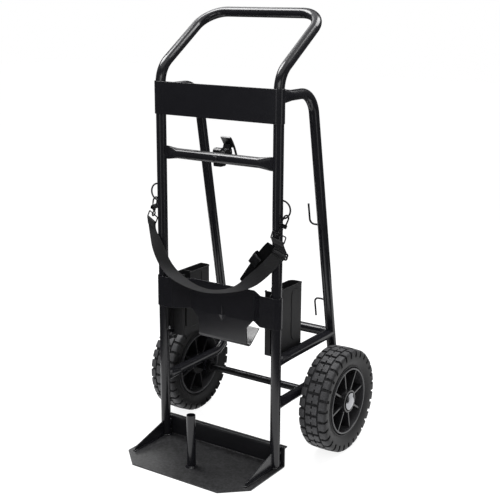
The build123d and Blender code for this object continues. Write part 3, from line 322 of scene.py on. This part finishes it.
nylon, tree = new_material("moulded_black_nylon")
coords = add_node(tree, "ShaderNodeTexCoord")
flow = add_node(tree, "ShaderNodeTexNoise", {"Scale": 1 / (FLOW_MM * MM), "Detail": 4.0},
                {"Vector": (coords, "Object")})
tone = add_node(tree, "ShaderNodeValToRGB", links={"Fac": (flow, "Fac")})
set_colours(tone, ((0.0, "#161618"), (1.0, "#222224")))
gloss = add_node(tree, "ShaderNodeMapRange", {"To Min": 0.24, "To Max": 0.34}, {"Value": (flow, "Fac")})
bump = add_node(tree, "ShaderNodeBump", {"Strength": 0.08, "Distance": 0.2 * MM}, {"Height": (flow, "Fac")})
radius = from_axle(tree, coords)
# Painted reflection: from the barrel outwards the rim is painted lighter.
barrel = add_node(tree, "ShaderNodeMapRange", {"From Min": BARREL_FROM, "From Max": BARREL_FULL},
                  {"Value": (radius, "Value")})
painted_barrel_light = add_node(tree, "ShaderNodeMix", {"data_type": "RGBA", 7: hex_colour("#3a3a3c")},
                    {0: (barrel, "Result"), 6: (tone, "Color")})
surface = add_node(tree, "ShaderNodeBsdfPrincipled", {"IOR": 1.53},
                   {"Base Color": (painted_barrel_light, 2), "Roughness": (gloss, "Result"), "Normal": (bump, "Normal")})
add_node(tree, "ShaderNodeOutputMaterial", links={"Surface": (surface, "BSDF")})
dress(("left_rim", "right_rim"), nylon)
soften(("left_rim", "right_rim"), width_mm=0.6)

# Tyres: moulded rubber tyres with bridged pairs of blocks round the crown and lugs down the shoulders,
# seated on the rims. Carbon-black rubber is matt grey-black. By radius it is a little lighter at the bead
# and lightens towards the tread, partly dust on the crown and partly painted shade: the slot floors between
# the blocks lie lower and come out darker than the block tops. Bloom varies it in small patches.
BLOOM_MM = 4.0
SKIN_MM = 1.5
BEAD_RADIUS = 100.0 * MM
TREAD_RADIUS = 153.0 * MM
rubber, tree = new_material("carbon_black_rubber")
coords = add_node(tree, "ShaderNodeTexCoord")
radius = from_axle(tree, coords)
height = add_node(tree, "ShaderNodeMapRange", {"From Min": BEAD_RADIUS, "From Max": TREAD_RADIUS},
                  {"Value": (radius, "Value")})
# Dust and painted shade: by radius, the lower slot floors come out darker than the block tops.
dust = add_node(tree, "ShaderNodeValToRGB", links={"Fac": (height, "Result")})
set_colours(dust, ((0.0, "#1c1c1e"), (0.30, "#151517"), (0.55, "#131315"), (0.80, "#262628"),
                   (0.88, "#3c3c3e"), (0.95, "#505052"), (1.0, "#626264")))
bloom = add_node(tree, "ShaderNodeTexNoise", {"Scale": 1 / (BLOOM_MM * MM), "Detail": 5.0, "Roughness": 0.7},
                 {"Vector": (coords, "Object")})
patch = add_node(tree, "ShaderNodeValToRGB", links={"Fac": (bloom, "Fac")})
set_colours(patch, ((0.3, "#a8a8a8"), (0.75, "#ffffff")))
tone = add_node(tree, "ShaderNodeMix", {"data_type": "RGBA", "blend_type": "MULTIPLY", "Factor": 1.0},
                {6: (dust, "Color"), 7: (patch, "Color")})
skin = add_node(tree, "ShaderNodeTexNoise", {"Scale": 1 / (SKIN_MM * MM), "Detail": 2.0},
                {"Vector": (coords, "Object")})
gloss = add_node(tree, "ShaderNodeMapRange", {"To Min": 0.40, "To Max": 0.56}, {"Value": (bloom, "Fac")})
bump = add_node(tree, "ShaderNodeBump", {"Strength": 0.3, "Distance": 0.25 * MM}, {"Height": (skin, "Fac")})
surface = add_node(tree, "ShaderNodeBsdfPrincipled", {"IOR": 1.5, "Specular IOR Level": 0.3},
                   {"Base Color": (tone, 2), "Roughness": (gloss, "Result"), "Normal": (bump, "Normal")})
add_node(tree, "ShaderNodeOutputMaterial", links={"Surface": (surface, "BSDF")})
dress(("left_tyre", "right_tyre"), rubber)
soften(("left_tyre", "right_tyre"), width_mm=0.8)

# Axle caps: thin caps of pressed steel, pushed on the axle's ends. Their polished chrome mirrors the
# room, with a slight haze from handling.
HAZE_MM = 6.0
chrome, tree = new_material("polished_chrome")
coords = add_node(tree, "ShaderNodeTexCoord")
haze = add_node(tree, "ShaderNodeTexNoise", {"Scale": 1 / (HAZE_MM * MM), "Detail": 3.0},
                {"Vector": (coords, "Object")})
gloss = add_node(tree, "ShaderNodeMapRange", {"To Min": 0.14, "To Max": 0.24}, {"Value": (haze, "Fac")})
surface = add_node(tree, "ShaderNodeBsdfPrincipled", {"Base Color": hex_colour("#a2a3a6"), "Metallic": 1.0},
                   {"Roughness": (gloss, "Result")})
add_node(tree, "ShaderNodeOutputMaterial", links={"Surface": (surface, "BSDF")})
dress(("left_axle_cap", "right_axle_cap"), chrome)

# Strap: one length of 38 mm woven polyester webbing, turned back and sewn round the two wire links
# and hung in a curve across the cradle. It faces forward at its ends, rolls flat in the middle
# and is threaded behind, over and behind the bars of the slider.
WEB_WIDE = 38.0
WEB_THICK = 2.0
WEB_SHARES = (-0.5, -0.46, -0.25, 0.0, 0.25, 0.46, 0.5)
LOOP_R = 3.4
LAP_OUT = 2.4
NECK_DOWN = 6.0
NECK_OUT = 2.3
NECK_BACK = 0.6


def sewn_end(bar, across, back, rise, fall, lap):
    """Stations from the end of the sewn lap in front, over the link's bar and down behind it."""
    bar = Vector(bar)
    back = Vector(back)
    rise = Vector(rise)
    fall = Vector(fall).normalized()
    places = [
        bar + fall * lap - back * LAP_OUT,
        bar + fall * (lap / 2) - back * LAP_OUT,
        bar + fall * NECK_DOWN - back * NECK_OUT,
    ]
    for degrees in (180, 135, 90, 45, 0):
        turn = math.radians(degrees)
        places.append(bar + (back * math.cos(turn) + rise * math.sin(turn)) * LOOP_R)
    places.append(bar + fall * NECK_DOWN + back * NECK_BACK)
    return [(tuple(place), across) for place in places]


# A row of THREADING is how far the webbing lies down the slider, out in front of it and along its bars,
# in millimetres. Below the slider the webbing twists towards the strap's own slant.
SLIDER_AT = Vector((220.5, -23.5, 633.5))
SLIDER_ACROSS = Vector((-0.955, 0.0, 0.297))
SLIDER_DOWN = Vector((-0.297, 0.0, -0.955))
BELOW_ACROSS = Vector((-0.73, 0.0, 0.68))
TWIST_FROM = 7.0
TWIST_OVER = 16.0
THREADING = (
    (17, 1.2, 10.0), (13, 0.85, 6.0), (10, 0.85, 3.4), (6.6, 0.85, 1.6), (4.9, 2.4, 0.8),
    (3.6, 5.2, 0.5), (1.8, 6.7, 0.2), (0, 6.7, 0.0), (-1.8, 6.7, 0.0), (-3.6, 5.2, 0.3),
    (-4.9, 2.4, 0.5), (-6.6, 0.85, 0.8), (-10, 0.85, 2.2), (-13, 0.9, 5.0),
)
threaded = []
for down, out, along in THREADING:
    place = SLIDER_AT + SLIDER_DOWN * down + SLIDER_ACROSS * along + Vector((0, -out, 0))
    twist = max(0.0, (down - TWIST_FROM) / TWIST_OVER)
    threaded.append((tuple(place), tuple(SLIDER_ACROSS.lerp(BELOW_ACROSS, twist))))
left_end = sewn_end(bar=(-237.74, 1.64, 661.15), across=(0.905, -0.279, -0.320), back=(0.227, 0.955, -0.191),
                    rise=(0.359, 0.100, 0.928), fall=(5.74, -4.64, -18.15), lap=21)
right_end = sewn_end(bar=(206.46, -19.55, 665.81), across=(-0.963, 0.0, 0.271), back=(-0.027, 0.995, -0.096),
                     rise=(0.269, 0.100, 0.958), fall=(13.1, -9.5, -18.4), lap=13)

# A station is a point on the middle line of the webbing, in millimetres, and the direction across it.
# The free end, which carries the tail buckle, runs down behind the strap.
WEB_STATIONS = (
    *left_end,
    ((-232, -3, 643), (0.93, -0.29, -0.15)),
    ((-225, -8, 631), (0.94, -0.30, 0.10)),
    ((-213, -16, 618), (0.90, -0.16, 0.36)),
    ((-200, -24, 602), (0.87, 0.10, 0.45)),
    ((-184, -28, 576), (0.90, 0.28, 0.34)),
    ((-168, -27, 547), (0.90, 0.30, 0.30)),
    ((-141, -31, 524), (0.60, 0.75, 0.20)),
    ((-103, -32, 507), (0.20, 0.97, 0.08)),
    ((-62, -27, 492), (-0.05, 1.0, -0.03)),
    ((-20, -24, 488), (-0.20, 0.98, -0.05)),
    ((21, -24, 494), (-0.22, 0.97, -0.02)),
    ((63, -24, 506), (-0.40, 0.90, 0.12)),
    ((98, -26, 523), (-0.65, 0.66, 0.36)),
    ((122, -25, 540), (-0.66, 0.30, 0.68)),
    ((144, -24, 556), (-0.65, 0.05, 0.75)),
    ((172, -23.5, 583), (-0.70, 0.0, 0.72)),
    ((195, -23.5, 606), (-0.73, 0.0, 0.68)),
    *threaded,
    *reversed(right_end),
)
TAIL_STATIONS = (
    ((193.6, -18.6, 651.8), (-0.93, 0.0, 0.36)),
    ((180.6, -18.0, 637.8), (-0.85, 0.0, 0.53)),
    ((167.6, -18.0, 622.8), (-0.80, 0.0, 0.60)),
    ((131.6, -18.0, 574.8), (-0.80, 0.0, 0.60)),
    ((107.6, -13.0, 542.8), (-0.80, 0.0, 0.60)),
    ((94.6, -11.0, 525.8), (-0.80, 0.0, 0.60)),
)


def laid_lengths(stations):
    """The length of webbing laid from the first station to each of them."""
    laid = [0.0]
    for (before, _), (after, _) in zip(stations, stations[1:]):
        laid.append(laid[-1] + (Vector(after) - Vector(before)).length)
    return laid


def lay_webbing(name, stations):
    """A flat strip of webbing, laid row by row along its stations and given its thickness."""
    strip = bmesh.new()
    weave = strip.loops.layers.uv.new("weave")
    bmesh.ops.create_grid(strip, x_segments=len(WEB_SHARES) - 1, y_segments=len(stations) - 1, size=0.5)
    laid = laid_lengths(stations)
    rows = {vertex: round((vertex.co.y + 0.5) * (len(stations) - 1)) for vertex in strip.verts}
    columns = {vertex: round((vertex.co.x + 0.5) * (len(WEB_SHARES) - 1)) for vertex in strip.verts}
    for face in strip.faces:
        for corner in face.loops:
            across = WEB_SHARES[columns[corner.vert]] + 0.5
            corner[weave].uv = (across, laid[rows[corner.vert]] / laid[-1])
    for vertex in strip.verts:
        centre, width = stations[rows[vertex]]
        reach = Vector(width).normalized() * WEB_WIDE * WEB_SHARES[columns[vertex]]
        vertex.co = (Vector(centre) + reach) * MM
    piece = make_piece(name, strip, smooth=True)
    thick = piece.modifiers.new("thickness", "SOLIDIFY")
    thick.thickness = WEB_THICK * MM
    thick.offset = 0.0
    smooth = piece.modifiers.new("smooth", "SUBSURF")
    smooth.levels = 2
    smooth.render_levels = 2
    return piece


# The weave looks dull: warp ribs run along it and weft picks cross it, with fuzz in patches. The real
# threads are about 1 mm apart and are drawn at 2.4 and 3 mm so that they still show. At a scale of 1
# the wave pattern repeats every 2 pi / 20.
RIB_MM = 2.4
PICK_MM = 3.0
FUZZ_MM = 8.33
WAVE_PERIOD = 2 * math.pi / 20


def weave_material(name, stations, dark, light, shine):
    """Woven polyester for a strip of webbing, drawn on its own width and length in millimetres."""
    material, tree = new_material(name)
    coords = add_node(tree, "ShaderNodeTexCoord")
    laid = add_node(tree, "ShaderNodeMapping", {"Scale": (WEB_WIDE, laid_lengths(stations)[-1], 1.0)},
                    {"Vector": (coords, "UV")})
    ribs = add_node(tree, "ShaderNodeTexWave", {"Scale": WAVE_PERIOD / RIB_MM, "bands_direction": "X"},
                    {"Vector": (laid, "Vector")})
    picks = add_node(tree, "ShaderNodeTexWave",
                     {"Scale": WAVE_PERIOD / PICK_MM, "bands_direction": "DIAGONAL"},
                     {"Vector": (laid, "Vector")})
    threads = add_node(tree, "ShaderNodeMath", {"operation": "MULTIPLY"},
                       {0: (ribs, "Fac"), 1: (picks, "Fac")})
    fuzz = add_node(tree, "ShaderNodeTexNoise", {"Scale": 1 / FUZZ_MM, "Detail": 4.0},
                    {"Vector": (laid, "Vector")})
    tone = add_node(tree, "ShaderNodeValToRGB", links={"Fac": (threads, "Value")})
    set_colours(tone, ((0.0, dark), (1.0, light)))
    worn = add_node(tree, "ShaderNodeMix", {"data_type": "RGBA", "blend_type": "MULTIPLY", "Factor": 0.35},
                    {6: (tone, "Color"), 7: (fuzz, "Color")})
    bump = add_node(tree, "ShaderNodeBump", {"Strength": 0.5, "Distance": 0.3 * MM},
                    {"Height": (threads, "Value")})
    surface = add_node(tree, "ShaderNodeBsdfPrincipled",
                       {"Roughness": 0.82, "IOR": 1.45, "Specular IOR Level": shine},
                       {"Base Color": (worn, 2), "Normal": (bump, "Normal")})
    add_node(tree, "ShaderNodeOutputMaterial", links={"Surface": (surface, "BSDF")})
    return material


strap = lay_webbing("strap", WEB_STATIONS)
strap.data.materials.append(
    weave_material("woven_polyester_strap", WEB_STATIONS, dark="#131315", light="#29292b", shine=0.5))
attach(strap, "frame")
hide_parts("strap_webbing")
# The free end is the same webbing in a near-black copy of the weave: painted shade behind the strap.
tail = lay_webbing("strap_free_end", TAIL_STATIONS)
tail.data.materials.append(
    weave_material("woven_polyester_tail_painted_shade", TAIL_STATIONS, dark="#050506", light="#0d0d0e", shine=0.1))
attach(tail, "frame")
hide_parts("strap_tail")

# Slider and latch: small mouldings in black acetal, tough and slightly waxy to the eye.
# The slider is threaded on the strap, and the latch is bolted to the back of the crossbar.
MOULD_MM = 2.2
acetal, tree = new_material("moulded_black_acetal")
coords = add_node(tree, "ShaderNodeTexCoord")
mould = add_node(tree, "ShaderNodeTexNoise", {"Scale": 1 / (MOULD_MM * MM), "Detail": 3.0},
                 {"Vector": (coords, "Object")})
tone = add_node(tree, "ShaderNodeValToRGB", links={"Fac": (mould, "Fac")})
set_colours(tone, ((0.0, "#0e0e10"), (1.0, "#161618")))
gloss = add_node(tree, "ShaderNodeMapRange", {"To Min": 0.20, "To Max": 0.30}, {"Value": (mould, "Fac")})
bump = add_node(tree, "ShaderNodeBump", {"Strength": 0.10, "Distance": 0.1 * MM}, {"Height": (mould, "Fac")})
surface = add_node(tree, "ShaderNodeBsdfPrincipled", {"IOR": 1.48},
                   {"Base Color": (tone, "Color"), "Roughness": (gloss, "Result"),
                    "Normal": (bump, "Normal")})
add_node(tree, "ShaderNodeOutputMaterial", links={"Surface": (surface, "BSDF")})
dress(("strap_slider", "latch_base", "latch_lever"), acetal)
soften(("strap_slider", "latch_base", "latch_lever"), width_mm=0.5)

# Studio floor: a wide sheet of white paper under the cart. The camera and reflections see it nearly
# as white as the room, with the cart's shadow on it, and it throws back the light of plain paper.
FLOOR_REACH = 12.0
sweep = bmesh.new()
bmesh.ops.create_grid(sweep, x_segments=1, y_segments=1, size=FLOOR_REACH)
floor = make_piece("studio_floor", sweep, smooth=False)


def seen_directly(tree):
    """1 where the camera, a reflection or glass sees a surface, and 0 where it only lights others."""
    path = add_node(tree, "ShaderNodeLightPath")
    viewed = add_node(tree, "ShaderNodeMath", {"operation": "MAXIMUM"},
                      {0: (path, "Is Camera Ray"), 1: (path, "Is Glossy Ray")})
    return add_node(tree, "ShaderNodeMath", {"operation": "MAXIMUM"},
                    {0: (viewed, "Value"), 1: (path, "Is Transmission Ray")})


paper, tree = new_material("white_paper_floor")
seen = seen_directly(tree)
plain = add_node(tree, "ShaderNodeBsdfDiffuse", {"Color": hex_colour("#e9e9ea")})
shaded = add_node(tree, "ShaderNodeBsdfDiffuse", {"Color": hex_colour("#959596")})
glow = add_node(tree, "ShaderNodeEmission", {"Color": hex_colour("#ffffff"), "Strength": 0.87})
lit = add_node(tree, "ShaderNodeAddShader", links={0: (shaded, "BSDF"), 1: (glow, "Emission")})
mixed = add_node(tree, "ShaderNodeMixShader",
                 links={0: (seen, "Value"), 1: (plain, "BSDF"), 2: (lit, "Shader")})
add_node(tree, "ShaderNodeOutputMaterial", links={"Surface": (mixed, "Shader")})
floor.data.materials.append(paper)

# White room: the studio round the cart, plain white to the camera and in reflections.
# Its own light on the cart is less than half as strong, so that the lamps shape the cart.
world = bpy.data.worlds.new("white_studio")
bpy.context.scene.world = world
world.use_nodes = True
tree = world.node_tree
tree.nodes.clear()
seen = seen_directly(tree)
ambient = add_node(tree, "ShaderNodeBackground", {"Color": hex_colour("#ffffff"), "Strength": 0.45})
backdrop = add_node(tree, "ShaderNodeBackground", {"Color": hex_colour("#ffffff"), "Strength": 1.0})
mixed = add_node(tree, "ShaderNodeMixShader",
                 links={0: (seen, "Value"), 1: (ambient, "Background"), 2: (backdrop, "Background")})
add_node(tree, "ShaderNodeOutputWorld", links={"Surface": (mixed, "Shader")})

# Black flags: a flaring bowl of dark cloth round the cart, raised at the right rear, which shows only in
# reflections and keeps those deep. A dark card on the floor behind the cart is a painted shadow: it shows
# the cart's shade on the floor there, only in reflections.
FLAG_RADIUS = 0.75
FLAG_SPREAD = 2.0
FLAG_LOW = 0.02
FLAG_TALL = 2.6
RAISED_ARC = (30, 85)
RAISED_BY = 0.35
SHADOW_CARD_AT = (0.17, 0.75, 0.004)
SHADOW_CARD_TURN = math.radians(53)
SHADOW_CARD_SIZE = (1.3, 0.4, 1, 1)
bowl = bmesh.new()
bmesh.ops.create_circle(bowl, segments=64, radius=FLAG_RADIUS)
wall = bmesh.ops.extrude_edge_only(bowl, edges=bowl.edges)
brim = [corner for corner in wall["geom"] if isinstance(corner, bmesh.types.BMVert)]
bmesh.ops.scale(bowl, verts=brim, vec=(FLAG_SPREAD, FLAG_SPREAD, 1))
bmesh.ops.translate(bowl, verts=brim, vec=(0, 0, FLAG_TALL))
bmesh.ops.translate(bowl, verts=bowl.verts, vec=(0, 0, FLAG_LOW))
raised = [corner for corner in bowl.verts if corner not in brim
          and RAISED_ARC[0] < math.degrees(math.atan2(corner.co.y, corner.co.x)) < RAISED_ARC[1]]
bmesh.ops.translate(bowl, verts=raised, vec=(0, 0, RAISED_BY))
# Painted shadow: a dark card where the cart's shade would fall on the floor behind it.
shadow_card = Matrix.Translation(SHADOW_CARD_AT) @ Matrix.Rotation(SHADOW_CARD_TURN, 4, "Z") @ Matrix.Diagonal(SHADOW_CARD_SIZE)
bmesh.ops.create_grid(bowl, x_segments=1, y_segments=1, size=0.5, matrix=shadow_card)
flags = make_piece("studio_flags_and_shadow_card", bowl, smooth=False)
flags.visible_camera = False
flags.visible_diffuse = False
flags.visible_shadow = False
flag_cloth, tree = new_material("black_flag_cloth")
surface = add_node(tree, "ShaderNodeBsdfDiffuse", {"Color": hex_colour("#424242")})
add_node(tree, "ShaderNodeOutputMaterial", links={"Surface": (surface, "BSDF")})
flags.data.materials.append(flag_cloth)


# Softboxes: a strong key high on the left, a second high at the right rear, and weaker boxes at the
# left rear, in front and low on the left. Two dim strips draw a thin line down each upright.
def softbox(name, place, aim, wide, tall, watts):
    """A rectangular lamp that faces the point it is aimed at."""
    lamp = bpy.data.lights.new(name, "AREA")
    lamp.shape = "RECTANGLE"
    lamp.size = wide
    lamp.size_y = tall
    lamp.energy = watts
    stand = bpy.data.objects.new(name, lamp)
    bpy.context.scene.collection.objects.link(stand)
    stand.visible_camera = False
    stand.location = place
    stand.rotation_euler = (Vector(aim) - Vector(place)).to_track_quat("-Z", "Y").to_euler()


softbox("key_softbox", place=(-0.85, -0.1, 2.3), aim=(0, 0, 0.7), wide=0.7, tall=1.1, watts=36)
softbox("rear_softbox", place=(-0.75, 0.75, 1.7), aim=(0, 0, 0.2), wide=0.7, tall=0.7, watts=3.8)
softbox("front_softbox", place=(0.55, -0.85, 1.25), aim=(0, 0, 0.7), wide=0.7, tall=0.5, watts=3.2)
softbox("back_softbox", place=(0.55, 0.85, 2.0), aim=(0, 0, 0.7), wide=0.7, tall=0.9, watts=18)
softbox("low_softbox", place=(-0.72, 0.32, 0.34), aim=(-0.25, -0.22, 0.0), wide=0.3, tall=0.3, watts=1.1)
softbox("front_strip", place=(-0.10, -0.85, 0.80), aim=(0, 0, 0.80), wide=0.2, tall=1.3, watts=0.8)
softbox("side_strip", place=(0.84, -0.10, 0.80), aim=(0, 0, 0.80), wide=0.2, tall=1.3, watts=0.8)

# Camera: a long lens at the photograph's angle, about 2.7 m away to the right of the front
# and a little higher than the handle.
CAMERA_AT = (1.5908, -2.2155, 1.3100)
YAW = math.radians(34.063)
PITCH = math.radians(14.187)
ROLL = math.radians(0.239)
forward = Vector((-math.sin(YAW) * math.cos(PITCH), math.cos(YAW) * math.cos(PITCH), -math.sin(PITCH)))
sideways = Vector((math.cos(YAW), math.sin(YAW), 0))
rise = sideways.cross(forward)
right = sideways * math.cos(ROLL) + rise * math.sin(ROLL)
up = rise * math.cos(ROLL) - sideways * math.sin(ROLL)
lens = bpy.data.cameras.new("camera")
lens.sensor_width = 36.0
lens.lens = 72.95
lens.shift_x = 0.0085
lens.shift_y = -0.0100
lens.clip_end = 50.0
camera = bpy.data.objects.new("camera", lens)
bpy.context.scene.collection.objects.link(camera)
turn = Matrix((right, up, -forward)).transposed().to_4x4()
camera.matrix_world = Matrix.Translation(CAMERA_AT) @ turn
bpy.context.scene.camera = camera
bpy.context.scene.view_settings.view_transform = "Standard"
